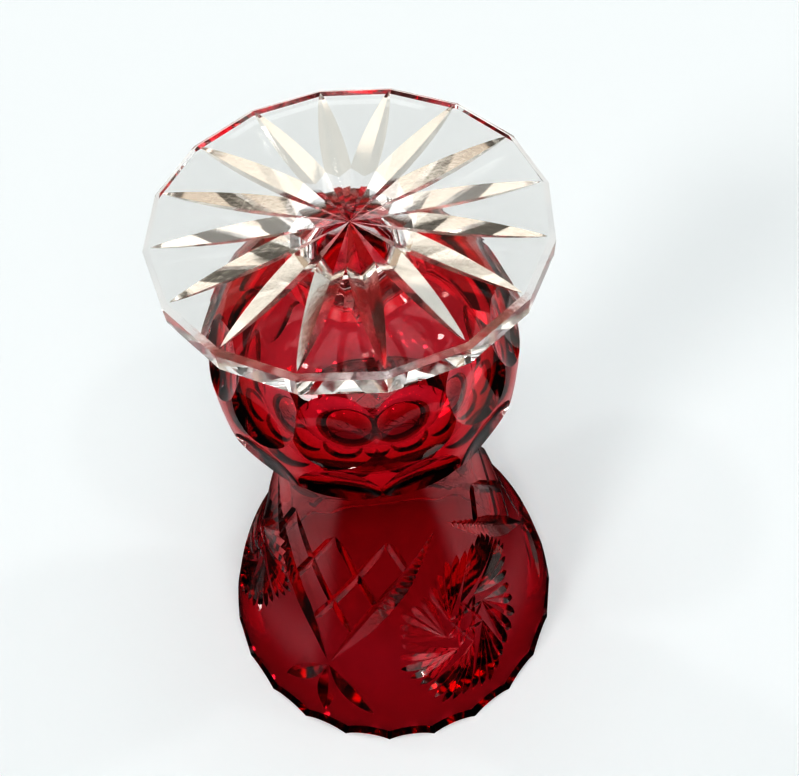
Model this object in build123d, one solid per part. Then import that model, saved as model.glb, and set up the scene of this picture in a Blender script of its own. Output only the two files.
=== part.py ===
from build123d import *
import math
import os

# Footed crystal vase with a ruby inner layer, standing mouth-down on its scalloped rim.
# Millimetres, +Z up. The origin is at the centre of the rim, on the surface that it stands
# on, and the flat star-cut face of the foot is on top.

# ---- driving dimensions -------------------------------------------------------------------
TOTAL_HEIGHT = 205.0

RIM_RADIUS = 64.0            # to the tips of the teeth
RIM_WALL = 5.0
RIM_TEETH = 24
RIM_WHEEL = 13.5             # radius of the wheel that hollows each scallop
RIM_CUT = 2.9                # depth of a scallop at the outside of the rim
RIM_TILT = 6.0               # degrees, so that a scallop is deeper outside than inside

WAIST_RADIUS = 28.0
WAIST_HEIGHT = 121.0
WAIST_WALL = 7.5

BULB_HEIGHT = 154.0          # of the bulb's widest circle
BULB_OFFSET = 11.7           # the bulb is an arc whose centre is this far from the axis
BULB_ARC = 31.0
BULB_BLEND = -50.0           # degrees round the arc, where the waist runs into it
CAVITY_HEIGHT = 150.0
CAVITY_OFFSET = 8.5
CAVITY_ARC = 24.0

LINING = 1.2                 # thickness of the ruby layer at the rim and in the bulb
LINING_WAIST = 2.0           # and at the waist, where the blown glass was stretched least

LENSES = 12                  # round cuts in each of the two rows on the bulb
LENS_BALL = 30.0             # radius of the ball that hollows one
LENS_DEPTH = 3.4
LENS_ROWS = (29.5, -9.5)     # degrees round the bulb's arc
LENS_TURN = 15.0

PANELS = 3                   # V-shaped panels round the skirt
PANEL_POINT = 37.0           # height of the point of a V
PANEL_TOP = 99.0             # height of the tops of its arms
CUT_SLOPE = 1.9              # rise over run of every straight cut
CUT_STEPS = 8
CUT_PROUD = 0.8              # how far a cutter stands out of the glass
ARM_DEPTH = 2.0
ARM_SPREAD = 1.6             # half width of a groove over its depth
ARM_FADE = 0.35              # share of a groove's length over which it runs out
LATTICE_DEPTH = 1.1
LATTICE_SPREAD = 1.3
LATTICE_FADE = 0.12
LEAF_DEPTH = 2.0
LEAF_SPREAD = 1.6
LEAF_START = (0.0, 36.5)     # run and height where the three leaves meet
LEAF_ENDS = ((-17.5, 19.5), (0.0, 11.0), (19.0, 16.0))

STEM_FACETS = 12
STEM_TURN = 15.0
STEM_FLARE = 17.0            # radius to the corners where it meets the bulb
STEM_TOP = 16.0              # and where it meets the foot
STEM_WAIST = ((0.2, 13.4), (0.45, 11.6), (0.75, 12.6))  # share of its height and radius

FOOT_SIDES = 16
FOOT_RADIUS = 48.0           # to the corners
FOOT_EDGE = 5.5              # thickness at the edge
FOOT_DOME = 3.5              # extra thickness at the stem
FOOT_BEVEL = 1.5             # width of the bevel round the top face
FOOT_BEVEL_DROP = 0.8
FOOT_TURN = 4.4              # degrees from +X to the first corner
RAY_DEPTH = 2.3
RAY_SPREAD = 1.42            # half width of a ray over its depth
RAY_REACH = 0.6              # share of its length over which a ray deepens from its tip
RAY_CURVE = 0.8              # under 1 is fuller near the tip
RAY_STEPS = 10

FOOT_UNDERSIDE = TOTAL_HEIGHT - FOOT_EDGE - FOOT_DOME
BULB_TOP = BULB_HEIGHT + math.sqrt(BULB_ARC ** 2 - (STEM_FLARE - BULB_OFFSET) ** 2)
FOOT_FACE = FOOT_RADIUS - FOOT_BEVEL
PANEL_RUN = (PANEL_TOP - PANEL_POINT) / CUT_SLOPE    # from the V's middle to an arm's top
UPWARD = (0, 0, 1)

# outside of the flared skirt from the rim to the waist, as radius and height
SKIRT = (
    (RIM_RADIUS, 0.0),
    (57.0, 25.0),
    (46.6, 49.0),
    (39.6, 74.0),
    (33.6, 94.0),
    (29.6, 108.0),
    (WAIST_RADIUS, WAIST_HEIGHT),
)


# ---- outlines -----------------------------------------------------------------------------
def wall_at(height):
    """Thickness of the skirt, which grows towards the waist."""
    return RIM_WALL + (WAIST_WALL - RIM_WALL) * height / WAIST_HEIGHT


def lining_at(height):
    """Thickness of the ruby layer in the skirt."""
    return LINING + (LINING_WAIST - LINING) * (height / WAIST_HEIGHT) ** 2


def skirt_spline(walls, linings):
    """The skirt's outline moved in by whole walls and whole linings."""
    points = []
    for radius, height in SKIRT:
        inset = walls * wall_at(height) + linings * lining_at(height)
        points.append((radius - inset, 0, height))
    rim_lean = Vector(SKIRT[1][0] - SKIRT[0][0], 0, SKIRT[1][1] - SKIRT[0][1])
    return Spline(points, tangents=[rim_lean, UPWARD])


def bulge(offset, height, arc, degrees):
    """Point on an arc about a centre at this offset and height."""
    angle = math.radians(degrees)
    return Vector(offset + arc * math.cos(angle), 0, height + arc * math.sin(angle))


def bulge_arc(offset, height, arc, start, end):
    ends = [bulge(offset, height, arc, turn) for turn in (start, (start + end) / 2, end)]
    return ThreePointArc(*ends)


def turned(edges):
    """Solid of revolution about the axis from an outline that the axis closes."""
    top = edges[-1] @ 1
    bottom = edges[0] @ 0
    axis_top = Vector(0, 0, top.Z)
    axis_bottom = Vector(0, 0, bottom.Z)
    closing = [Line(axis_top, axis_bottom), Line(axis_bottom, bottom)]
    if top.X > 0:
        closing.insert(0, Line(top, axis_top))
    return revolve(make_face([*edges, *closing]), Axis.Z)


def body_outside():
    skirt = skirt_spline(0, 0)
    top_turn = math.degrees(math.acos((STEM_FLARE - BULB_OFFSET) / BULB_ARC))
    arc = bulge_arc(BULB_OFFSET, BULB_HEIGHT, BULB_ARC, BULB_BLEND, top_turn)
    blend = Spline([skirt @ 1, arc @ 0], tangents=[UPWARD, arc % 0])
    return turned([skirt, blend, arc])


def cavity(linings):
    """The space inside the crystal, made smaller by a whole number of linings."""
    skirt = skirt_spline(1, linings)
    throat = skirt @ 1
    arc_radius = CAVITY_ARC - linings * LINING
    start = -math.degrees(math.acos((throat.X - CAVITY_OFFSET) / arc_radius))
    arc = bulge_arc(CAVITY_OFFSET, CAVITY_HEIGHT, arc_radius, start, 90)
    return turned([skirt, Line(throat, arc @ 0), arc])


# ---- cuts ---------------------------------------------------------------------------------
SKIRT_LINE = skirt_spline(0, 0)


def skirt_at(height):
    """Radius of the skirt at a height, and its outward lean there."""
    low = 0.0
    high = 1.0
    for _ in range(30):
        middle = (low + high) / 2
        if (SKIRT_LINE @ middle).Z < height:
            low = middle
        else:
            high = middle
    tangent = SKIRT_LINE % low
    return (SKIRT_LINE @ low).X, -tangent.X / tangent.Z


def on_skirt(run, height, turn):
    """Point and outward normal on the skirt, at a run in mm round from a turn in degrees."""
    radius, lean = skirt_at(height)
    angle = math.radians(turn) + run / radius
    outward = Vector(math.cos(angle), math.sin(angle), 0)
    normal = (outward + Vector(0, 0, lean)).normalized()
    return outward * radius + Vector(0, 0, height), normal


def groove(start, end, turn, spread, depth_at):
    """Cutter for a V groove along the skirt between two places given as run and height."""
    places = []
    for step in range(CUT_STEPS + 1):
        share = step / CUT_STEPS
        run = start[0] + (end[0] - start[0]) * share
        height = start[1] + (end[1] - start[1]) * share
        places.append(on_skirt(run, height, turn))
    sections = []
    for step, (point, normal) in enumerate(places):
        before = places[max(step - 1, 0)][0]
        after = places[min(step + 1, CUT_STEPS)][0]
        across = (after - before).cross(normal).normalized()
        depth = depth_at(step / CUT_STEPS)
        half = spread * (depth + CUT_PROUD)
        crest = point + normal * CUT_PROUD
        corners = [point - normal * depth, crest + across * half, crest - across * half]
        sections.append(Wire.make_polygon(corners, close=True))
    return Solid.make_loft(sections, ruled=True)


def fading(depth, fade):
    """Depth of a straight groove, even in the middle and running out at its two ends."""
    def depth_at(share):
        edge = min(share, 1 - share) / fade
        return depth * min(edge, 1.0) - 0.1
    return depth_at


def bowed(depth):
    """Depth of a leaf, which is deepest in the middle."""
    def depth_at(share):
        return depth * math.sin(math.pi * share) - 0.1
    return depth_at


def panel_cuts(turn):
    """Two arms, the lattice between them and three leaves, for one V panel."""
    cuts = []
    runs = [-PANEL_RUN / 2, 0.0, PANEL_RUN / 2]
    for side in (-1, 1):
        top = (side * PANEL_RUN, PANEL_TOP)
        arm_depth = fading(ARM_DEPTH, ARM_FADE)
        cuts.append(groove((0.0, PANEL_POINT), top, turn, ARM_SPREAD, arm_depth))
        for run in runs:
            drop = (side * run + PANEL_RUN) / 2
            top = (run, PANEL_TOP)
            end = (run - side * drop, PANEL_TOP - drop * CUT_SLOPE)
            lattice_depth = fading(LATTICE_DEPTH, LATTICE_FADE)
            cuts.append(groove(top, end, turn, LATTICE_SPREAD, lattice_depth))
    for leaf in LEAF_ENDS:
        cuts.append(groove(LEAF_START, leaf, turn, LEAF_SPREAD, bowed(LEAF_DEPTH)))
    return cuts


def lens_cuts():
    """Balls that hollow the round cuts in the rows on the bulb."""
    cuts = []
    for row in LENS_ROWS:
        centre = bulge(BULB_OFFSET, BULB_HEIGHT, BULB_ARC - LENS_DEPTH + LENS_BALL, row)
        for lens in range(LENSES):
            spin = LENS_TURN + lens * 360 / LENSES
            cuts.append(Rot(0, 0, spin) * Pos(centre) * Sphere(LENS_BALL))
    return cuts


def scallop_cuts():
    """Wheels laid across the rim, one between each pair of teeth."""
    cuts = []
    drop = RIM_WHEEL - RIM_CUT
    for scallop in range(RIM_TEETH):
        spin = scallop * 360 / RIM_TEETH
        wheel = Cylinder(RIM_WHEEL, 4 * RIM_WALL)
        cuts.append(Rot(0, 0, spin) * Pos(RIM_RADIUS, 0, -drop) * Rot(0, 90 - RIM_TILT, 0) * wheel)
    return cuts


def ray_depth(share):
    """Depth of a mitre ray, from its tip at share 0 to the centre at share 1."""
    if share <= 0:
        return -0.1
    return RAY_DEPTH * math.sin(math.pi / 2 * min(share / RAY_REACH, 1.0)) ** RAY_CURVE


def ray_cut():
    """Cutter for one mitre ray, from a corner of the top face to just past the centre."""
    overrun = 1.0
    crest = TOTAL_HEIGHT + CUT_PROUD
    sections = []
    for step in range(RAY_STEPS + 1):
        share = step / RAY_STEPS
        out = FOOT_FACE - (FOOT_FACE + overrun) * share
        depth = ray_depth(share)
        half = RAY_SPREAD * (depth + CUT_PROUD)
        corners = [(out, 0, TOTAL_HEIGHT - depth), (out, half, crest), (out, -half, crest)]
        sections.append(Wire.make_polygon(corners, close=True))
    return Solid.make_loft(sections, ruled=True)


# ---- pieces -------------------------------------------------------------------------------
def make_foot_disc():
    edge_low = (FOOT_RADIUS, 0, TOTAL_HEIGHT - FOOT_EDGE)
    edge_high = (FOOT_RADIUS, 0, TOTAL_HEIGHT)
    disc = turned([Line((STEM_TOP, 0, FOOT_UNDERSIDE), edge_low), Line(edge_low, edge_high)])
    bevel_low = TOTAL_HEIGHT - FOOT_BEVEL_DROP
    side = RegularPolygon(FOOT_RADIUS, FOOT_SIDES, rotation=FOOT_TURN)
    face = RegularPolygon(FOOT_FACE, FOOT_SIDES, rotation=FOOT_TURN)
    prism = extrude(Pos(0, 0, FOOT_UNDERSIDE) * side, bevel_low - FOOT_UNDERSIDE)
    prism += loft([Pos(0, 0, bevel_low) * side, Pos(0, 0, TOTAL_HEIGHT) * face], ruled=True)
    foot = disc & prism
    for ray in range(FOOT_SIDES):
        foot -= Rot(0, 0, FOOT_TURN + ray * 360 / FOOT_SIDES) * ray_cut()
    return foot


def make_faceted_stem():
    height = FOOT_UNDERSIDE - BULB_TOP
    sections = []
    for share, radius in ((0.0, STEM_FLARE), *STEM_WAIST, (1.0, STEM_TOP)):
        facets = RegularPolygon(radius, STEM_FACETS, rotation=STEM_TURN)
        sections.append(Pos(0, 0, BULB_TOP + share * height) * facets)
    return loft(sections, ruled=True)


def make_crystal_body():
    body = body_outside() - cavity(0) - lens_cuts() - scallop_cuts()
    for panel in range(PANELS):
        for cut in panel_cuts(panel * 360 / PANELS):
            body -= cut
    return body


def make_ruby_lining():
    return cavity(0) - cavity(1) - scallop_cuts()


def main():
    os.makedirs("parts", exist_ok=True)
    pieces = {
        "foot_disc": make_foot_disc(),
        "faceted_stem": make_faceted_stem(),
        "crystal_body": make_crystal_body(),
        "ruby_lining": make_ruby_lining(),
    }
    for name, piece in pieces.items():
        export_step(piece, f"parts/{name}.step")


main()
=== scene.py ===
import math

import bmesh
import bpy
from mathutils import Matrix, Vector


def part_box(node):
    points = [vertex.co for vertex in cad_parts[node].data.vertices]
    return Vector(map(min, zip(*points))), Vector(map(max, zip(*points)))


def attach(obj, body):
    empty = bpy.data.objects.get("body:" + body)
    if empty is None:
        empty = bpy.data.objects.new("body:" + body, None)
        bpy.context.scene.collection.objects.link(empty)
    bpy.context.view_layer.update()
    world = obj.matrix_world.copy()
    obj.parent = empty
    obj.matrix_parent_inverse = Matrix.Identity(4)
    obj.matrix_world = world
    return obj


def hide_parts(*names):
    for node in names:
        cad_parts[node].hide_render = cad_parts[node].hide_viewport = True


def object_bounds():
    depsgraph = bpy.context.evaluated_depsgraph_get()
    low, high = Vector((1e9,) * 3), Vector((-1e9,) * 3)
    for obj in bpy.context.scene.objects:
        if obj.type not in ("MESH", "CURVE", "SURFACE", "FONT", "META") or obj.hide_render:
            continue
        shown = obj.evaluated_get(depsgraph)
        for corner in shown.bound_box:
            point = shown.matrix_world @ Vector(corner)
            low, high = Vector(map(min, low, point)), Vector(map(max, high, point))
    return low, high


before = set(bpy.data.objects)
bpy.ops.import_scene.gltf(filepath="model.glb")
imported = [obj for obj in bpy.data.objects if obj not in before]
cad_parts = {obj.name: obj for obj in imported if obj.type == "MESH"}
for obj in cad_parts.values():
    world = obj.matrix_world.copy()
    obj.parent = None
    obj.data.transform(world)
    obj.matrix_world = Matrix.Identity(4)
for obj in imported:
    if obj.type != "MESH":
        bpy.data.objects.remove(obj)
cad_low, cad_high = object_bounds()

# A footed crystal vase with a ruby layer inside, stood on its mouth. The glass is measured in
# millimetres, as in the CAD, and scaled to metres when a mesh is made.
MM = 0.001
TOP = cad_high.z / MM
STEM_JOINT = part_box("crystal_body")[1].z / MM
FOOT_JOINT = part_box("foot_disc")[0].z / MM
SAME_PLACE = 1e-4                # points of an outline nearer than this are one

# ---- outlines, as radius and height -------------------------------------------------------
SKIRT = (
    (64.0, 0.0),
    (57.0, 25.0),
    (46.6, 49.0),
    (39.6, 74.0),
    (33.6, 94.0),
    (29.6, 108.0),
    (28.0, 121.0),
)
RIM_WALL = 5.0
WAIST_WALL = 7.5
BULB = (11.7, 154.0, 31.0)       # offset, height and radius of the bulb's arc
BULB_BLEND = -50.0               # degrees round the arc, where the waist runs in
CAVITY = (8.5, 150.0, 24.0)
LINING = 1.2                     # ruby layer at the rim and in the bulb
LINING_WAIST = 2.0               # and at the waist
SKIN = 0.06                      # clear glass left between the ruby and the air
HOLLOW_END = (1.0, -5.0)         # the hollow's cutter ends this much wider, and this low

SKIRT_STEPS = 18                 # points on each span of the curve
BLEND_STEPS = 8
BULB_STEPS = 54
CAVITY_STEPS = 40
BODY_SEGMENTS = 288              # round the outside
HOLLOW_SEGMENTS = 192            # and round the inside

STEM_FACETS = 12
STEM_TURN = 15.0
# radius, and share of the stem's height
STEM_LINE = ((17.0, 0.0), (13.4, 0.2), (11.6, 0.45), (12.6, 0.75), (16.0, 1.0))
STEM_STEPS = 4
STEM_OVERLAP = 1.0               # how far its blank runs into the body and the foot
SPLIT_IN = 0.3                   # a split lies this far into the stem, clear of its ends
SPLIT_TOLERANCE = 1e-7           # metres

FOOT_SIDES = 16
FOOT_RADIUS = 48.0
FOOT_EDGE = 5.5
FOOT_BEVEL = 1.5
FOOT_BEVEL_DROP = 0.8
FOOT_TURN = 4.4
RAY_DEPTH = 2.3
RAY_SPREAD = 1.42
RAY_REACH = 0.6                  # share of a ray over which it deepens from its tip
RAY_CURVE = 0.8                  # under 1 is fuller near the tip
RAY_CLEAR = 16.5                 # radius inside which the rays are wheel-cut, not satin
RAY_PAST = 1.0                   # how far a ray runs past the centre
RAY_STEPS = 20

# ---- cuts ---------------------------------------------------------------------------------
# A spread is a groove's half width over its depth, and a fade is the share of its length over
# which it runs out at each end.
CUT_PROUD = 0.8                  # how far a cutter stands out of the glass
TIP_RISE = 0.1                   # a groove's tip starts this far above the surface
SLIVER = 1e-6                    # metres; an edge as short as this is left over from a cut

RIM_TEETH = 24
RIM_WHEEL = 13.5                 # radius of the wheel that cuts between two teeth
RIM_CUT = 2.9                    # and how deep it goes
RIM_TILT = 6.0
RIM_REACH = (-12.0, 8.0)         # from the rim inwards, and outwards
RIM_SEGMENTS = 128

LENSES = 12
LENS_BALL = 30.0                 # radius of the hollow that a lens cut leaves
LENS_DEPTH = 3.4
LENS_CAP = 34.0                  # half angle of the cutter, whose back has to clear the bulb
LENS_ROWS = (29.5, -9.5)         # degrees up the bulb
LENS_TURN = 15.0
LENS_RINGS = 16
LENS_SEGMENTS = 40

PANELS = 3
PANEL_POINT = 37.0
PANEL_TOP = 99.0
CUT_SLOPE = 1.9                  # rise over run of the arms and the lattice
ARM_DEPTH = 2.5
ARM_SPREAD = 1.45
ARM_FADE = 0.35
ARM_STEPS = 28
LATTICE_DEPTH = 1.2
LATTICE_SPREAD = 1.3
LATTICE_FADE = 0.12
LATTICE_STEPS = 16
LEAF_DEPTH = 2.4
LEAF_SPREAD = 1.5
LEAF_START = (0.0, 36.5)         # run and height, as for its ends
LEAF_ENDS = ((-17.5, 19.5), (0.0, 11.0), (19.0, 16.0))
LEAF_STEPS = 16

NOTCHES = 12                     # fine cuts across the upper part of each arm
NOTCH_SPAN = (0.48, 0.92)
NOTCH_DEPTH = 0.35
NOTCH_SPREAD = 1.9
NOTCH_SLANT = 35.0               # degrees from square across the arm
NOTCH_PAST = 0.4                 # added to the arm's depth, so that a notch clears its edges
NOTCH_STEPS = 8

PIN_TURN = 60.0                  # degrees from a V panel to the pinwheel beside it
PIN_HEIGHT = 48.5
PIN_ACROSS = 28.0
PIN_ALONG = 34.0
PIN_LEAN = 0.3                   # how much higher its right side sits, rise over run
PIN_FANS = 8
PIN_BLADES = 5
PIN_HUB = 0.3                    # radius of the hub over that of the pinwheel
PIN_SWIRL = 20.0                 # degrees from a hub corner to the first blade of its fan
PIN_FAN = 45.0
PIN_CURVE = 0.12                 # how much shorter the outer blades of a fan are
BLADE_START = 0.2                # depth at the fan's apex
BLADE_DEPTH = 1.5
BLADE_SPREAD = 1.35
BLADE_ROUND = 0.75               # share of a blade's length where its round tip begins
BLADE_STEPS = 10
HUB_DEPTH = 0.6
HUB_FADE = 0.12
HUB_CHORD = 135.0                # degrees that each cut across the hub spans
HUB_STEPS = 8

PANEL_RUN = (PANEL_TOP - PANEL_POINT) / CUT_SLOPE
FOOT_FACE = FOOT_RADIUS - FOOT_BEVEL

GLASS_EDGE = 16.0                # degrees; a sharper turn between two faces stays an edge
LINING_EDGE = 40.0

GLASS_IOR = 1.54
RUBY_TINT = (0.875, 0.0, 0.22, 1)
RUBY_DENSITY = 1400.0            # per metre

# finishes of the glass, as places in the list of materials that every piece shares
POLISHED, JOINT, CUT, SATIN_WITH_PAINTED_REFLECTION, LENS, MITRE = range(6)


# ---- materials ----------------------------------------------------------------------------
def new_material(name):
    material = bpy.data.materials.new(name)
    material.use_nodes = True
    nodes = material.node_tree.nodes
    nodes.clear()
    out = nodes.new("ShaderNodeOutputMaterial")
    return material, nodes, material.node_tree.links, out


def add_ripple(nodes, links, shader, scale, height, stretch=(1, 1, 1)):
    """Faint unevenness of the surface, from noise in the piece's own space."""
    place = nodes.new("ShaderNodeTexCoord")
    mapping = nodes.new("ShaderNodeMapping")
    mapping.inputs["Scale"].default_value = stretch
    noise = nodes.new("ShaderNodeTexNoise")
    noise.inputs["Scale"].default_value = scale
    noise.inputs["Detail"].default_value = 2.0
    bump = nodes.new("ShaderNodeBump")
    bump.inputs["Distance"].default_value = height
    links.new(place.outputs["Object"], mapping.inputs["Vector"])
    links.new(mapping.outputs["Vector"], noise.inputs["Vector"])
    links.new(noise.outputs["Fac"], bump.inputs["Height"])
    links.new(bump.outputs["Normal"], shader.inputs["Normal"])


def crystal(name, tint, roughness, gloss, scale, height, stretch=(1, 1, 1)):
    """Clear glass with one finish: its roughness, its gloss and its ripple."""
    material, nodes, links, out = new_material(name)
    shader = nodes.new("ShaderNodeBsdfPrincipled")
    shader.inputs["Base Color"].default_value = (*tint, 1)
    shader.inputs["Roughness"].default_value = roughness
    shader.inputs["IOR"].default_value = GLASS_IOR
    shader.inputs["Transmission Weight"].default_value = 1.0
    shader.inputs["Specular IOR Level"].default_value = gloss
    add_ripple(nodes, links, shader, scale, height, stretch)
    links.new(shader.outputs["BSDF"], out.inputs["Surface"])
    return material


def joint_glass():
    """The fused joint between two pieces, which light crosses unbent."""
    material, nodes, links, out = new_material("fused_joint")
    shader = nodes.new("ShaderNodeBsdfTransparent")
    links.new(shader.outputs["BSDF"], out.inputs["Surface"])
    return material


def ruby_glass():
    """Ruby that deepens with its thickness, in a skin that light crosses unbent."""
    material, nodes, links, out = new_material("ruby_glass")
    shader = nodes.new("ShaderNodeBsdfTransparent")
    links.new(shader.outputs["BSDF"], out.inputs["Surface"])
    inside = nodes.new("ShaderNodeVolumeAbsorption")
    inside.inputs["Color"].default_value = RUBY_TINT
    inside.inputs["Density"].default_value = RUBY_DENSITY
    links.new(inside.outputs["Volume"], out.inputs["Volume"])
    return material


# in the order of the finishes: name, tint, roughness, gloss, and the ripple's scale, height in
# metres and stretch
GLASSES = (
    crystal("clear_crystal", (0.975, 0.972, 0.96), 0.0, 0.25, 55.0, 0.00004),
    joint_glass(),
    crystal("wheel_cut_crystal", (0.97, 0.95, 0.945), 0.10, 1.0, 700.0, 0.00002),
    # satin star rays: the frosting is real; their beige tint is a painted reflection of the warm
    # wall behind the object
    crystal("satin_cut_crystal_with_painted_reflection", (0.76, 0.72, 0.65), 0.13, 0.35, 900.0, 0.00002),
    crystal("lens_cut_crystal", (0.97, 0.955, 0.95), 0.03, 0.7, 160.0, 0.00012, (1, 1, 0.3)),
    crystal("mitre_cut_crystal", (0.98, 0.94, 0.94), 0.20, 1.0, 420.0, 0.00006),
)


# ---- mesh helpers -------------------------------------------------------------------------
def new_object(name, mesh):
    piece = bpy.data.objects.new(name, mesh)
    bpy.context.scene.collection.objects.link(piece)
    return piece


def mesh_object(name, points, faces, finish=POLISHED):
    """Object from points in millimetres, with its faces turned outwards."""
    mesh = bpy.data.meshes.new(name)
    mesh.from_pydata([Vector(p) * MM for p in points], [], faces)
    for material in GLASSES:
        mesh.materials.append(material)
    for face in mesh.polygons:
        face.material_index = finish
    work = bmesh.new()
    work.from_mesh(mesh)
    bmesh.ops.recalc_face_normals(work, faces=work.faces)
    work.to_mesh(mesh)
    work.free()
    return new_object(name, mesh)


def polar(radius, degrees, height):
    angle = math.radians(degrees)
    return Vector((radius * math.cos(angle), radius * math.sin(angle), height))


def loft(name, rings, finish=POLISHED):
    """Skin over rings of equally many points, with a flat face at each end."""
    count = len(rings[0])
    points = [p for ring in rings for p in ring]
    faces = []
    for row in range(len(rings) - 1):
        for k in range(count):
            a = row * count + k
            b = row * count + (k + 1) % count
            faces.append((a, b, b + count, a + count))
    faces.append(tuple(range(count)))
    faces.append(tuple(range(len(points) - count, len(points))))
    return mesh_object(name, points, faces, finish)


def lathe(name, outline, segments):
    """Solid of revolution from an outline whose two ends lie on the axis."""
    points = [Vector((0, 0, outline[0][1]))]
    for radius, height in outline[1:-1]:
        for k in range(segments):
            points.append(polar(radius, 360 * k / segments, height))
    points.append(Vector((0, 0, outline[-1][1])))
    last = len(points) - 1
    faces = []
    for k in range(segments):
        after = (k + 1) % segments
        faces.append((0, 1 + after, 1 + k))
        base = last - segments
        faces.append((base + k, base + after, last))
        for row in range(len(outline) - 3):
            a = 1 + row * segments
            faces.append((a + k, a + after, a + after + segments, a + k + segments))
    return mesh_object(name, points, faces)


def smooth_line(points, per_span, last_slope=None):
    """Smooth curve through points, each pair of them joined in equal steps."""
    spots = [Vector(p) for p in points]
    slopes = []
    for k in range(len(spots)):
        before = spots[max(k - 1, 0)]
        after = spots[min(k + 1, len(spots) - 1)]
        slopes.append((after - before) / (after - before).length)
    if last_slope is not None:
        slopes[-1] = Vector(last_slope)
    line = []
    for k in range(len(spots) - 1):
        span = (spots[k + 1] - spots[k]).length
        for step in range(per_span):
            t = step / per_span
            h00 = 2 * t ** 3 - 3 * t ** 2 + 1
            h10 = t ** 3 - 2 * t ** 2 + t
            h01 = -2 * t ** 3 + 3 * t ** 2
            h11 = t ** 3 - t ** 2
            spot = spots[k] * h00 + spots[k + 1] * h01
            spot += (slopes[k] * h10 + slopes[k + 1] * h11) * span
            line.append(tuple(spot))
    line.append(tuple(spots[-1]))
    return line


def arc_line(circle, start, end, steps):
    """Arc of a circle given as offset, height and radius, between two angles in degrees."""
    offset, height, radius = circle
    line = []
    for k in range(steps + 1):
        angle = math.radians(start + (end - start) * k / steps)
        line.append((offset + radius * math.cos(angle), height + radius * math.sin(angle)))
    return line


def join_lines(*lines):
    """One line from several, without the points that they share."""
    joined = list(lines[0])
    for line in lines[1:]:
        joined += [p for p in line if math.dist(p, joined[-1]) > SAME_PLACE]
    return joined


# ---- the body's outlines ------------------------------------------------------------------
def wall_at(height):
    """Thickness of the crystal, which grows evenly from the rim to the waist."""
    return RIM_WALL + (WAIST_WALL - RIM_WALL) * height / SKIRT[-1][1]


SKIRT_LINE = smooth_line(SKIRT, SKIRT_STEPS, (0, 1))


def outer_line():
    """The skirt, the curve that carries it round the waist, and the bulb."""
    top_turn = math.degrees(math.acos((STEM_LINE[0][0] - BULB[0]) / BULB[2]))
    arc = arc_line(BULB, BULB_BLEND, top_turn, BULB_STEPS)
    slope = (-math.sin(math.radians(BULB_BLEND)), math.cos(math.radians(BULB_BLEND)))
    waist = [SKIRT_LINE[-2], SKIRT_LINE[-1], arc[0]]
    blend = smooth_line(waist, BLEND_STEPS, slope)[BLEND_STEPS:]
    return join_lines(SKIRT_LINE, blend, arc)


def lining_at(height):
    """Thickness of the ruby layer, which grows towards the waist."""
    return LINING + (LINING_WAIST - LINING) * (height / SKIRT[-1][1]) ** 2


def cavity_line(linings, skin=0.0):
    """Inside of the crystal, moved in by whole linings and back out by a skin."""
    skirt = [(r - wall_at(z) - linings * lining_at(z) + skin, z) for r, z in SKIRT_LINE]
    circle = (CAVITY[0], CAVITY[1], CAVITY[2] - linings * LINING + skin)
    start = -math.degrees(math.acos((skirt[-1][0] - circle[0]) / circle[2]))
    return join_lines(skirt[::2], arc_line(circle, start, 90, CAVITY_STEPS))


def axis_closed(line):
    """The outline with its last point carried to the axis."""
    return line + [(0.0, line[-1][1])]


# ---- grooves on the skirt -----------------------------------------------------------------
def skirt_at(height):
    """Radius of the skirt at a height, and how far it leans out there."""
    for (r0, z0), (r1, z1) in zip(SKIRT_LINE, SKIRT_LINE[1:]):
        if z1 >= height:
            break
    share = (height - z0) / (z1 - z0)
    return r0 + (r1 - r0) * share, -(r1 - r0) / (z1 - z0)


def on_skirt(run, height, turn):
    """Point and outward normal at a run in mm round the skirt from a turn in degrees."""
    radius, lean = skirt_at(height)
    angle = math.radians(turn) + run / radius
    outward = Vector((math.cos(angle), math.sin(angle), 0))
    normal = (outward + Vector((0, 0, lean))).normalized()
    return outward * radius + Vector((0, 0, height)), normal


def groove(start, end, turn, spread, depth_at, steps, finish=CUT):
    """Cutter of a V groove along the skirt, between two places given as run and height."""
    places = []
    for step in range(steps + 1):
        share = step / steps
        run = start[0] + (end[0] - start[0]) * share
        height = start[1] + (end[1] - start[1]) * share
        places.append(on_skirt(run, height, turn))
    rings = []
    for step, (point, normal) in enumerate(places):
        before = places[max(step - 1, 0)][0]
        after = places[min(step + 1, steps)][0]
        across = (after - before).cross(normal).normalized()
        drop = depth_at(step / steps) + CUT_PROUD
        crest = point + normal * CUT_PROUD
        ring = []
        for side in (1, 0, -1):
            fall = drop * (1 - abs(side))
            ring.append(crest + across * spread * drop * side - normal * fall)
        rings.append(ring)
    return loft("cutter", rings, finish)


def fading(depth, fade):
    """Even depth that runs out at both ends."""
    return lambda share: depth * min(min(share, 1 - share) / fade, 1.0) - TIP_RISE


def bowed(depth):
    """Deepest in the middle."""
    return lambda share: depth * math.sin(math.pi * share) - TIP_RISE


def notch_cutters(top, turn):
    """Fine slanted cuts across the upper part of an arm that ends at this top."""
    arm = Vector((top[0], top[1] - PANEL_POINT))
    along = arm.normalized()
    slant = math.radians(NOTCH_SLANT)
    across = Vector((-along.y, along.x)) * math.cos(slant) + along * math.sin(slant)
    arm_depth = fading(ARM_DEPTH, ARM_FADE)
    cutters = []
    for notch in range(NOTCHES):
        share = NOTCH_SPAN[0] + (NOTCH_SPAN[1] - NOTCH_SPAN[0]) * notch / (NOTCHES - 1)
        depth = arm_depth(share)
        middle = Vector((0, PANEL_POINT)) + arm * share
        reach = across * ARM_SPREAD * (depth + NOTCH_PAST)
        profile = bowed(depth + NOTCH_DEPTH)
        start, end = middle - reach, middle + reach
        cutters.append(groove(start, end, turn, NOTCH_SPREAD, profile, NOTCH_STEPS))
    return cutters


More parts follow.
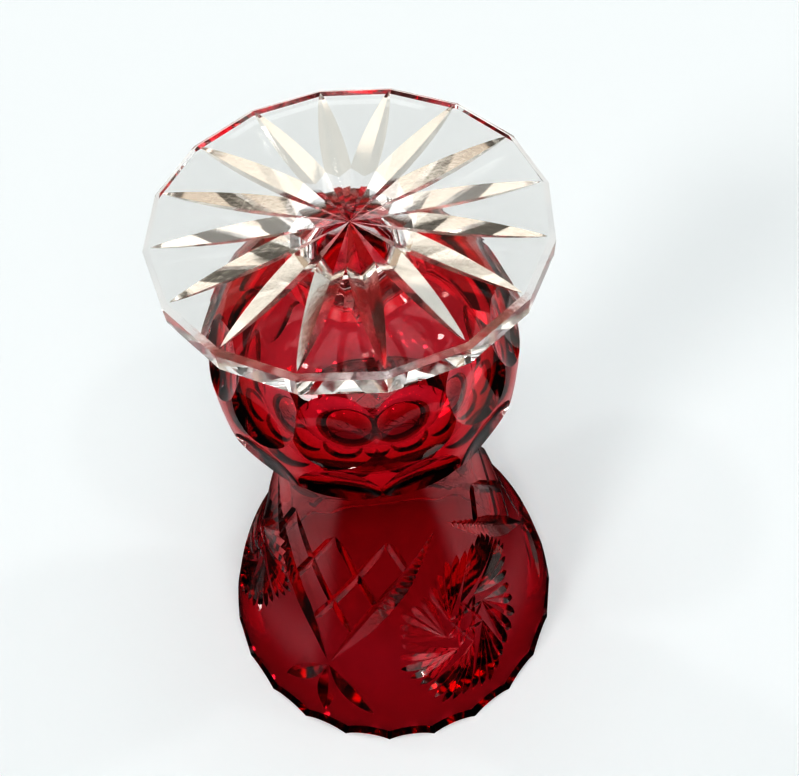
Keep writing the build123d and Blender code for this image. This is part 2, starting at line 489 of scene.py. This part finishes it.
def panel_cutters(turn):
    """A V with a lattice between its arms and leaves below its point."""
    point = (0.0, PANEL_POINT)
    arm_depth = fading(ARM_DEPTH, ARM_FADE)
    lattice_depth = fading(LATTICE_DEPTH, LATTICE_FADE)
    leaf_depth = bowed(LEAF_DEPTH)
    cutters = []
    for side in (-1, 1):
        top = (side * PANEL_RUN, PANEL_TOP)
        cutters.append(groove(point, top, turn, ARM_SPREAD, arm_depth, ARM_STEPS, MITRE))
        cutters += notch_cutters(top, turn)
        for run in (-PANEL_RUN / 2, 0.0, PANEL_RUN / 2):
            drop = (side * run + PANEL_RUN) / 2
            start = (run, PANEL_TOP)
            end = (run - side * drop, PANEL_TOP - drop * CUT_SLOPE)
            cutters.append(groove(start, end, turn, LATTICE_SPREAD, lattice_depth, LATTICE_STEPS))
    for end in LEAF_ENDS:
        cutters.append(groove(LEAF_START, end, turn, LEAF_SPREAD, leaf_depth, LEAF_STEPS, MITRE))
    return cutters


def pin_place(share, degrees):
    """Run and height of a place on the pinwheel, clockwise from its top."""
    angle = math.radians(degrees)
    run = share * PIN_ACROSS * math.sin(angle)
    return (run, PIN_HEIGHT + share * PIN_ALONG * math.cos(angle) + PIN_LEAN * run)


def blade_depth(share):
    """Depth of a fan blade, which widens outwards to a round tip."""
    if share < BLADE_ROUND:
        return BLADE_START + (BLADE_DEPTH - BLADE_START) * share / BLADE_ROUND
    past = (share - BLADE_ROUND) / (1 - BLADE_ROUND)
    return BLADE_DEPTH * math.sqrt(max(0.0, 1 - past ** 2)) - TIP_RISE


def pinwheel_cutters(turn):
    """Fans of blades that start at the hub's corners, and a star cut across the hub."""
    hub_depth = fading(HUB_DEPTH, HUB_FADE)
    cutters = []
    for fan in range(PIN_FANS):
        corner = fan * 360 / PIN_FANS
        apex = pin_place(PIN_HUB, corner)
        for blade in range(PIN_BLADES):
            share = (blade + 0.5) / PIN_BLADES
            length = 1.0 - PIN_CURVE * abs(2 * share - 1)
            tip = pin_place(length, corner + PIN_SWIRL + PIN_FAN * share)
            cutters.append(groove(apex, tip, turn, BLADE_SPREAD, blade_depth, BLADE_STEPS))
        across = pin_place(PIN_HUB, corner + HUB_CHORD)
        cutters.append(groove(apex, across, turn, BLADE_SPREAD, hub_depth, HUB_STEPS))
    return cutters


def lens_cutters():
    """Caps of a ball, one for each round cut on the bulb."""
    cutters = []
    rings = LENS_RINGS
    segments = LENS_SEGMENTS
    for row in LENS_ROWS:
        angle = math.radians(row)
        away = BULB[2] - LENS_DEPTH + LENS_BALL
        centre = Vector((BULB[0] + away * math.cos(angle), 0, BULB[1] + away * math.sin(angle)))
        inward = Vector((-math.cos(angle), 0, -math.sin(angle)))
        up = Vector((-math.sin(angle), 0, math.cos(angle)))
        side = inward.cross(up)
        points = [centre + inward * LENS_BALL]
        faces = []
        for ring in range(1, rings + 1):
            tilt = math.radians(LENS_CAP * ring / rings)
            for k in range(segments):
                spin = 2 * math.pi * k / segments
                flat = up * math.cos(spin) + side * math.sin(spin)
                spot = inward * math.cos(tilt) + flat * math.sin(tilt)
                points.append(centre + spot * LENS_BALL)
        for k in range(segments):
            after = (k + 1) % segments
            faces.append((0, 1 + k, 1 + after))
            for ring in range(rings - 1):
                a = 1 + ring * segments
                faces.append((a + k, a + after, a + after + segments, a + k + segments))
        faces.append(tuple(range(1 + (rings - 1) * segments, 1 + rings * segments)))
        for lens in range(LENSES):
            turn = Matrix.Rotation(math.radians(LENS_TURN + lens * 360 / LENSES), 4, "Z")
            cutters.append(mesh_object("cutter", [turn @ p for p in points], faces, LENS))
    return cutters


def scallop_cutters(raised=0.0):
    """Wheels laid across the rim, one between each pair of teeth."""
    tilt = math.radians(RIM_TILT)
    along = Vector((math.cos(tilt), 0, math.sin(tilt)))
    side = Vector((0, 1, 0))
    rise = Vector((-math.sin(tilt), 0, math.cos(tilt)))
    centre = Vector((SKIRT[0][0], 0, RIM_CUT - RIM_WHEEL + raised))
    cutters = []
    for scallop in range(RIM_TEETH):
        turn = Matrix.Rotation(2 * math.pi * scallop / RIM_TEETH, 4, "Z")
        rings = []
        for reach in RIM_REACH:
            ring = []
            for k in range(RIM_SEGMENTS):
                spin = 2 * math.pi * k / RIM_SEGMENTS
                flat = side * math.cos(spin) + rise * math.sin(spin)
                ring.append(turn @ (centre + along * reach + flat * RIM_WHEEL))
            rings.append(ring)
        cutters.append(loft("cutter", rings))
    return cutters


def cut(piece, cutters):
    """Takes the cutters out of the piece and removes them."""
    group = bpy.data.collections.new("cutters")
    bpy.context.scene.collection.children.link(group)
    for cutter in cutters:
        bpy.context.scene.collection.objects.unlink(cutter)
        group.objects.link(cutter)
    bpy.context.view_layer.objects.active = piece
    change = piece.modifiers.new("cut", "BOOLEAN")
    change.operation = "DIFFERENCE"
    change.solver = "MANIFOLD"
    change.operand_type = "COLLECTION"
    change.collection = group
    bpy.ops.object.modifier_apply(modifier="cut")
    for cutter in cutters:
        bpy.data.objects.remove(cutter)
    bpy.data.collections.remove(group)


def unite(piece, others):
    """Fuses the others into the piece."""
    for other in others:
        bpy.context.view_layer.objects.active = piece
        change = piece.modifiers.new("join", "BOOLEAN")
        change.operation = "UNION"
        change.solver = "MANIFOLD"
        change.object = other
        bpy.ops.object.modifier_apply(modifier="join")
        bpy.data.objects.remove(other)


# ---- pieces -------------------------------------------------------------------------------
def hollow_cutter(inside):
    """The space inside an outline, drawn out past the mouth."""
    wider, low = HOLLOW_END
    return lathe("cutter", [(0.0, low), (inside[0][0] + wider, low)] + inside, HOLLOW_SEGMENTS)


def make_body():
    """The crystal casing with all of its cuts."""
    body = lathe("crystal", [(0.0, 0.0)] + axis_closed(outer_line()), BODY_SEGMENTS)
    cut(body, [hollow_cutter(cavity_line(1))] + lens_cutters() + scallop_cutters())
    cutters = []
    for panel in range(PANELS):
        turn = panel * 360 / PANELS
        cutters += panel_cutters(turn)
        cutters += pinwheel_cutters(turn + PIN_TURN)
    cut(body, cutters)
    return body


def make_stem():
    """The stem, which runs a little into the body and the foot."""
    height = FOOT_JOINT - STEM_JOINT
    line = smooth_line([(radius, share * height) for radius, share in STEM_LINE], STEM_STEPS)
    line = [(line[0][0], -STEM_OVERLAP)] + line + [(line[-1][0], height + STEM_OVERLAP)]
    turns = [STEM_TURN + 360 * k / STEM_FACETS for k in range(STEM_FACETS)]
    rings = [[polar(radius, turn, STEM_JOINT + rise) for turn in turns] for radius, rise in line]
    return loft("stem", rings)


def ray_depth(share):
    """Depth of a mitre ray, from its tip at share 0 to the centre at share 1."""
    if share <= 0:
        return -TIP_RISE
    return RAY_DEPTH * math.sin(math.pi / 2 * min(share / RAY_REACH, 1.0)) ** RAY_CURVE


def ray_cutter(turn):
    """Cutter of a mitre ray, from the edge of the foot's face to just past its centre."""
    spin = Matrix.Rotation(math.radians(turn), 4, "Z")
    crest = TOP + CUT_PROUD
    rings = []
    for step in range(RAY_STEPS + 1):
        share = step / RAY_STEPS
        out = FOOT_FACE - (FOOT_FACE + RAY_PAST) * share
        depth = ray_depth(share)
        half = RAY_SPREAD * (depth + CUT_PROUD)
        corners = ((out, 0, TOP - depth), (out, half, crest), (out, -half, crest))
        rings.append([spin @ Vector(corner) for corner in corners])
    # outer part of the ray: satin, with a beige tint that is a painted reflection of the warm
    # wall
    cutter = loft("cutter", rings, SATIN_WITH_PAINTED_REFLECTION)
    for face in cutter.data.polygons:
        if math.hypot(face.center.x, face.center.y) < RAY_CLEAR * MM:
            face.material_index = CUT
    return cutter


def make_foot():
    """The foot with its star of rays."""
    corners = [FOOT_TURN + 360 * k / FOOT_SIDES for k in range(FOOT_SIDES)]
    levels = ((STEM_LINE[-1][0], FOOT_JOINT), (FOOT_RADIUS, TOP - FOOT_EDGE),
              (FOOT_RADIUS, TOP - FOOT_BEVEL_DROP), (FOOT_FACE, TOP))
    rings = [[polar(radius, turn, height) for turn in corners] for radius, height in levels]
    foot = loft("foot", rings)
    bevel_middle = TOP - FOOT_BEVEL_DROP / 2
    for face in foot.data.polygons:
        if abs(face.center.z / MM - bevel_middle) < FOOT_BEVEL_DROP / 4:
            face.material_index = CUT
    cut(foot, [ray_cutter(turn) for turn in corners])
    return foot


def make_lining():
    """The ruby layer, a closed shell just inside the crystal's surface."""
    outside = [p for p in cavity_line(0) if p[1] > SKIN]
    start = (outside[0][0] + (outside[0][0] - outside[1][0]) / 2, SKIN)
    lining = lathe("ruby_lining_glass", [(0.0, SKIN), start] + outside, HOLLOW_SEGMENTS)
    cut(lining, [hollow_cutter(cavity_line(1, SKIN))] + scallop_cutters(SKIN))
    return lining


def drop_slivers(piece):
    """Takes out the faces without area that the cuts leave."""
    work = bmesh.new()
    work.from_mesh(piece.data)
    bmesh.ops.dissolve_degenerate(work, edges=work.edges, dist=SLIVER)
    work.to_mesh(piece.data)
    work.free()


def smooth_shade(piece, degrees):
    """Smooth faces, with an edge wherever two of them turn by more than these degrees."""
    for face in piece.data.polygons:
        face.use_smooth = True
    piece.data.set_sharp_from_angle(angle=math.radians(degrees))


def split(piece, height, name):
    """Cuts off what is above a height as a piece of its own; both get a flat joint face."""
    upper = piece.copy()
    upper.data = piece.data.copy()
    upper.name = name
    bpy.context.scene.collection.objects.link(upper)
    for part, keep_upper in ((piece, False), (upper, True)):
        work = bmesh.new()
        work.from_mesh(part.data)
        everything = list(work.verts) + list(work.edges) + list(work.faces)
        done = bmesh.ops.bisect_plane(
            work, geom=everything, dist=SPLIT_TOLERANCE, plane_co=(0, 0, height * MM),
            plane_no=(0, 0, 1), clear_inner=keep_upper, clear_outer=not keep_upper)
        rim = [e for e in done["geom_cut"] if isinstance(e, bmesh.types.BMEdge)]
        cap = bmesh.ops.edgenet_fill(work, edges=rim)["faces"]
        for face in cap:
            face.material_index = JOINT
            face.smooth = False
        bmesh.ops.recalc_face_normals(work, faces=work.faces)
        work.to_mesh(part.data)
        work.free()
    return upper


def drop_unused(piece):
    """Keeps only the finishes that the piece shows."""
    used = sorted({face.material_index for face in piece.data.polygons})
    kept = [piece.data.materials[k] for k in used]
    places = [used.index(face.material_index) for face in piece.data.polygons]
    piece.data.materials.clear()
    for material in kept:
        piece.data.materials.append(material)
    for face, place in zip(piece.data.polygons, places):
        face.material_index = place


glass = make_body()
unite(glass, [make_stem(), make_foot()])
glass.name = "crystal_body_glass"
drop_slivers(glass)
smooth_shade(glass, GLASS_EDGE)
stem_piece = split(glass, STEM_JOINT + SPLIT_IN, "faceted_stem_glass")
foot_piece = split(stem_piece, FOOT_JOINT - SPLIT_IN, "foot_disc_glass")
for piece in (glass, stem_piece, foot_piece):
    drop_unused(piece)
lining = make_lining()
drop_slivers(lining)
lining.data.materials.clear()
lining.data.materials.append(ruby_glass())
smooth_shade(lining, LINING_EDGE)

for piece, node, finish in (
    (glass, "crystal_body", "clear_crystal"),
    (stem_piece, "faceted_stem", "clear_crystal"),
    (foot_piece, "foot_disc", "clear_crystal"),
    (lining, "ruby_lining", "ruby_glass"),
):
    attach(piece, "root")
    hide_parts(node)

# ---- stage --------------------------------------------------------------------------------
# The stage is measured in metres. A dark sheet with soft sides lies under the object and in front
# of it.
# It keeps the pale floor out of the front of the glass, and shows in reflections alone: it is
# painted shade, a dark floor that the glass reflects round the object and ahead of it.
FLOOR_REACH = 6.0
FLOOR_COLOUR = (0.82, 0.85, 0.87, 1)
# colour of the painted shade that the glass reflects
SHADE_SHEET_REACH = 1.0
SHADE_SHEET_LIFT = 0.0005               # clear of the floor
SHADE_SHEET_COLOUR = (0.02, 0.02, 0.02, 1)
SHADE_SHEET_RADIUS = (0.15, 0.075)      # round the object, from clear to dark
SHADE_SHEET_SIDES = (1.35, 0.75)        # in front, as distance to the side over distance forwards
SHADE_SHEET_NEAREST = 0.001             # least distance forwards, so that there is one to divide by

DAYLIGHT = (0.92, 0.98, 1.0)
LAMPLIGHT = (1.0, 0.98, 0.95)
SUNS = (                         # name, place, width in degrees, strength, colour
    ("overhead", (0.05, -0.05, 1.0), 50, 0.78, DAYLIGHT),
    ("key", (-0.98, -0.82, 0.86), 14, 0.45, LAMPLIGHT),
    ("front", (0.1, -0.85, 1.0), 40, 0.6, LAMPLIGHT),
)
LAMPS = ((0.75, 0.1), (-0.55, 0.55), (0.5, -0.5), (-0.6, -0.1), (-0.25, -0.9))
LAMP_HEIGHT = 1.1
LAMP_WIDTH = 3.5
LAMP_STRENGTH = 0.09
GLOWS = (                        # name, place, size, power, colour
    ("wall", (0, 0.42, 0.21), (1.0, 0.4), 0.45, (1.0, 0.83, 0.67)),
    ("side", (0.62, -0.05, 0.25), (0.6, 0.5), 1.0, (1.0, 0.97, 0.93)),
)
ROOM_COLOUR = (1.0, 0.94, 0.86, 1)
ROOM_STRENGTH = 0.11
BACKDROP_COLOUR = (0.53, 0.55, 0.57, 1)


def level_square(name, reach, height, material):
    """A square of the stage, level and centred under the object."""
    corners = ((-reach, -reach), (reach, -reach), (reach, reach), (-reach, reach))
    mesh = bpy.data.meshes.new(name)
    mesh.from_pydata([(x, y, height) for x, y in corners], [], [(0, 1, 2, 3)])
    mesh.materials.append(material)
    return new_object(name, mesh)


def pale_floor():
    material, nodes, links, out = new_material("pale_floor")
    matte = nodes.new("ShaderNodeBsdfDiffuse")
    matte.inputs["Color"].default_value = FLOOR_COLOUR
    links.new(matte.outputs["BSDF"], out.inputs["Surface"])
    return material


def soft_step(nodes, links, value, edges):
    """1 beyond the second edge, 0 before the first, and smooth between them."""
    step = nodes.new("ShaderNodeMapRange")
    step.interpolation_type = "SMOOTHSTEP"
    step.inputs["From Min"].default_value, step.inputs["From Max"].default_value = edges
    links.new(value, step.inputs["Value"])
    return step.outputs["Result"]


def math_node(nodes, links, operation, *values):
    """Result of a maths node on values that are numbers or other nodes' outputs."""
    node = nodes.new("ShaderNodeMath")
    node.operation = operation
    for socket, value in zip(node.inputs, values):
        if isinstance(value, float):
            socket.default_value = value
        else:
            links.new(value, socket)
    return node.outputs["Value"]


def painted_shade_sheet():
    """Painted shade, seen in reflections alone: dark near the object and ahead of it, and clear
    elsewhere.
    """
    material, nodes, links, out = new_material("painted_shade_sheet")
    place = nodes.new("ShaderNodeTexCoord")
    split_place = nodes.new("ShaderNodeSeparateXYZ")
    links.new(place.outputs["Object"], split_place.inputs["Vector"])
    x, y = split_place.outputs["X"], split_place.outputs["Y"]
    away = nodes.new("ShaderNodeVectorMath")
    away.operation = "LENGTH"
    links.new(place.outputs["Object"], away.inputs[0])
    near = soft_step(nodes, links, away.outputs["Value"], SHADE_SHEET_RADIUS)
    forward = math_node(nodes, links, "MULTIPLY", y, -1.0)
    forward = math_node(nodes, links, "MAXIMUM", forward, SHADE_SHEET_NEAREST)
    sideways = math_node(nodes, links, "ABSOLUTE", x)
    slope = math_node(nodes, links, "DIVIDE", sideways, forward)
    ahead = soft_step(nodes, links, slope, SHADE_SHEET_SIDES)
    clear = nodes.new("ShaderNodeBsdfTransparent")
    dark = nodes.new("ShaderNodeBsdfDiffuse")
    dark.inputs["Color"].default_value = SHADE_SHEET_COLOUR
    mix = nodes.new("ShaderNodeMixShader")
    links.new(math_node(nodes, links, "MAXIMUM", near, ahead), mix.inputs["Fac"])
    links.new(clear.outputs["BSDF"], mix.inputs[1])
    links.new(dark.outputs["BSDF"], mix.inputs[2])
    links.new(mix.outputs["Shader"], out.inputs["Surface"])
    return material


def aimed(name, light, place, target):
    """Light at a place, pointed at a target."""
    lamp = new_object(name, light)
    lamp.location = place
    lamp.rotation_euler = (Vector(target) - Vector(place)).to_track_quat("-Z", "Y").to_euler()
    return lamp


def sun(name, place, angle, strength, colour):
    """Far light of a given width in degrees; even light reaches all of the floor."""
    light = bpy.data.lights.new(name, "SUN")
    light.angle = math.radians(angle)
    light.energy = strength
    light.color = colour
    aimed(name, light, place, (0, 0, 0))


def glow(name, place, size, power, colour):
    """Upright panel that lights the glass and is seen in it, but leaves the floor alone."""
    light = bpy.data.lights.new(name, "AREA")
    light.shape = "RECTANGLE"
    light.size, light.size_y = size
    light.energy = power
    light.color = colour
    panel = aimed(name, light, place, (0, 0, place[2]))
    panel.visible_camera = False
    panel.visible_diffuse = False


def studio_world():
    """Dim and warm in the glass and on the floor, and pale where the camera sees it."""
    world = bpy.data.worlds.new("studio")
    bpy.context.scene.world = world
    world.use_nodes = True
    nodes = world.node_tree.nodes
    links = world.node_tree.links
    dim = nodes["Background"]
    dim.inputs["Color"].default_value = ROOM_COLOUR
    dim.inputs["Strength"].default_value = ROOM_STRENGTH
    pale = nodes.new("ShaderNodeBackground")
    pale.inputs["Color"].default_value = BACKDROP_COLOUR
    path = nodes.new("ShaderNodeLightPath")
    mix = nodes.new("ShaderNodeMixShader")
    links.new(path.outputs["Is Camera Ray"], mix.inputs["Fac"])
    links.new(dim.outputs["Background"], mix.inputs[1])
    links.new(pale.outputs["Background"], mix.inputs[2])
    links.new(mix.outputs["Shader"], nodes["World Output"].inputs["Surface"])


floor = level_square("floor", FLOOR_REACH, 0, pale_floor())
shade_sheet = level_square("shade_sheet", SHADE_SHEET_REACH, SHADE_SHEET_LIFT, painted_shade_sheet())
# the sheet of painted shade shows in reflections alone
for ray in ("camera", "diffuse", "transmission", "shadow"):
    setattr(shade_sheet, "visible_" + ray, False)

for light in SUNS:
    sun(*light)
for count, (x, y) in enumerate(LAMPS):
    sun(f"lamp_{count}", (x, y, LAMP_HEIGHT), LAMP_WIDTH, LAMP_STRENGTH, LAMPLIGHT)
for light in GLOWS:
    glow(*light)
studio_world()

# ---- camera -------------------------------------------------------------------------------
CAMERA_AWAY = 1.9 * TOP * MM     # from the rim's centre
CAMERA_ABOVE = 65.98             # degrees above the floor, seen from there
CAMERA_PITCH = 54.48             # degrees that it looks down
CAMERA_YAW = -1.83
CAMERA_ROLL = -6.92
CAMERA_LENS = 41.72
CAMERA_SENSOR = 36.0
CAMERA_NEAREST = 0.01


def aim_camera():
    """Camera pitched down at the object, then yawed and rolled about its own axes."""
    data = bpy.data.cameras.new("camera")
    data.lens = CAMERA_LENS
    data.sensor_width = CAMERA_SENSOR
    data.clip_start = CAMERA_NEAREST
    camera = new_object("camera", data)
    above = math.radians(CAMERA_ABOVE)
    pitch, yaw, roll = map(math.radians, (CAMERA_PITCH, CAMERA_YAW, CAMERA_ROLL))
    right = Vector((1, 0, 0))
    down = Vector((0, -math.sin(pitch), -math.cos(pitch)))
    ahead = Vector((0, math.cos(pitch), -math.sin(pitch)))
    right, ahead = (right * math.cos(yaw) + ahead * math.sin(yaw),
                    ahead * math.cos(yaw) - right * math.sin(yaw))
    right, down = (right * math.cos(roll) - down * math.sin(roll),
                   right * math.sin(roll) + down * math.cos(roll))
    turn = Matrix((right, -down, -ahead)).transposed().to_4x4()
    place = Vector((0, -CAMERA_AWAY * math.cos(above), CAMERA_AWAY * math.sin(above)))
    camera.matrix_world = Matrix.Translation(place) @ turn
    bpy.context.scene.camera = camera


aim_camera()
cycles = bpy.context.scene.cycles
cycles.max_bounces = 32
cycles.transmission_bounces = 32
cycles.transparent_max_bounces = 48
cycles.glossy_bounces = 16
cycles.sample_clamp_indirect = 12.0
bpy.context.scene.view_settings.view_transform = "Standard"
bpy.context.scene.view_settings.look = "Very High Contrast"
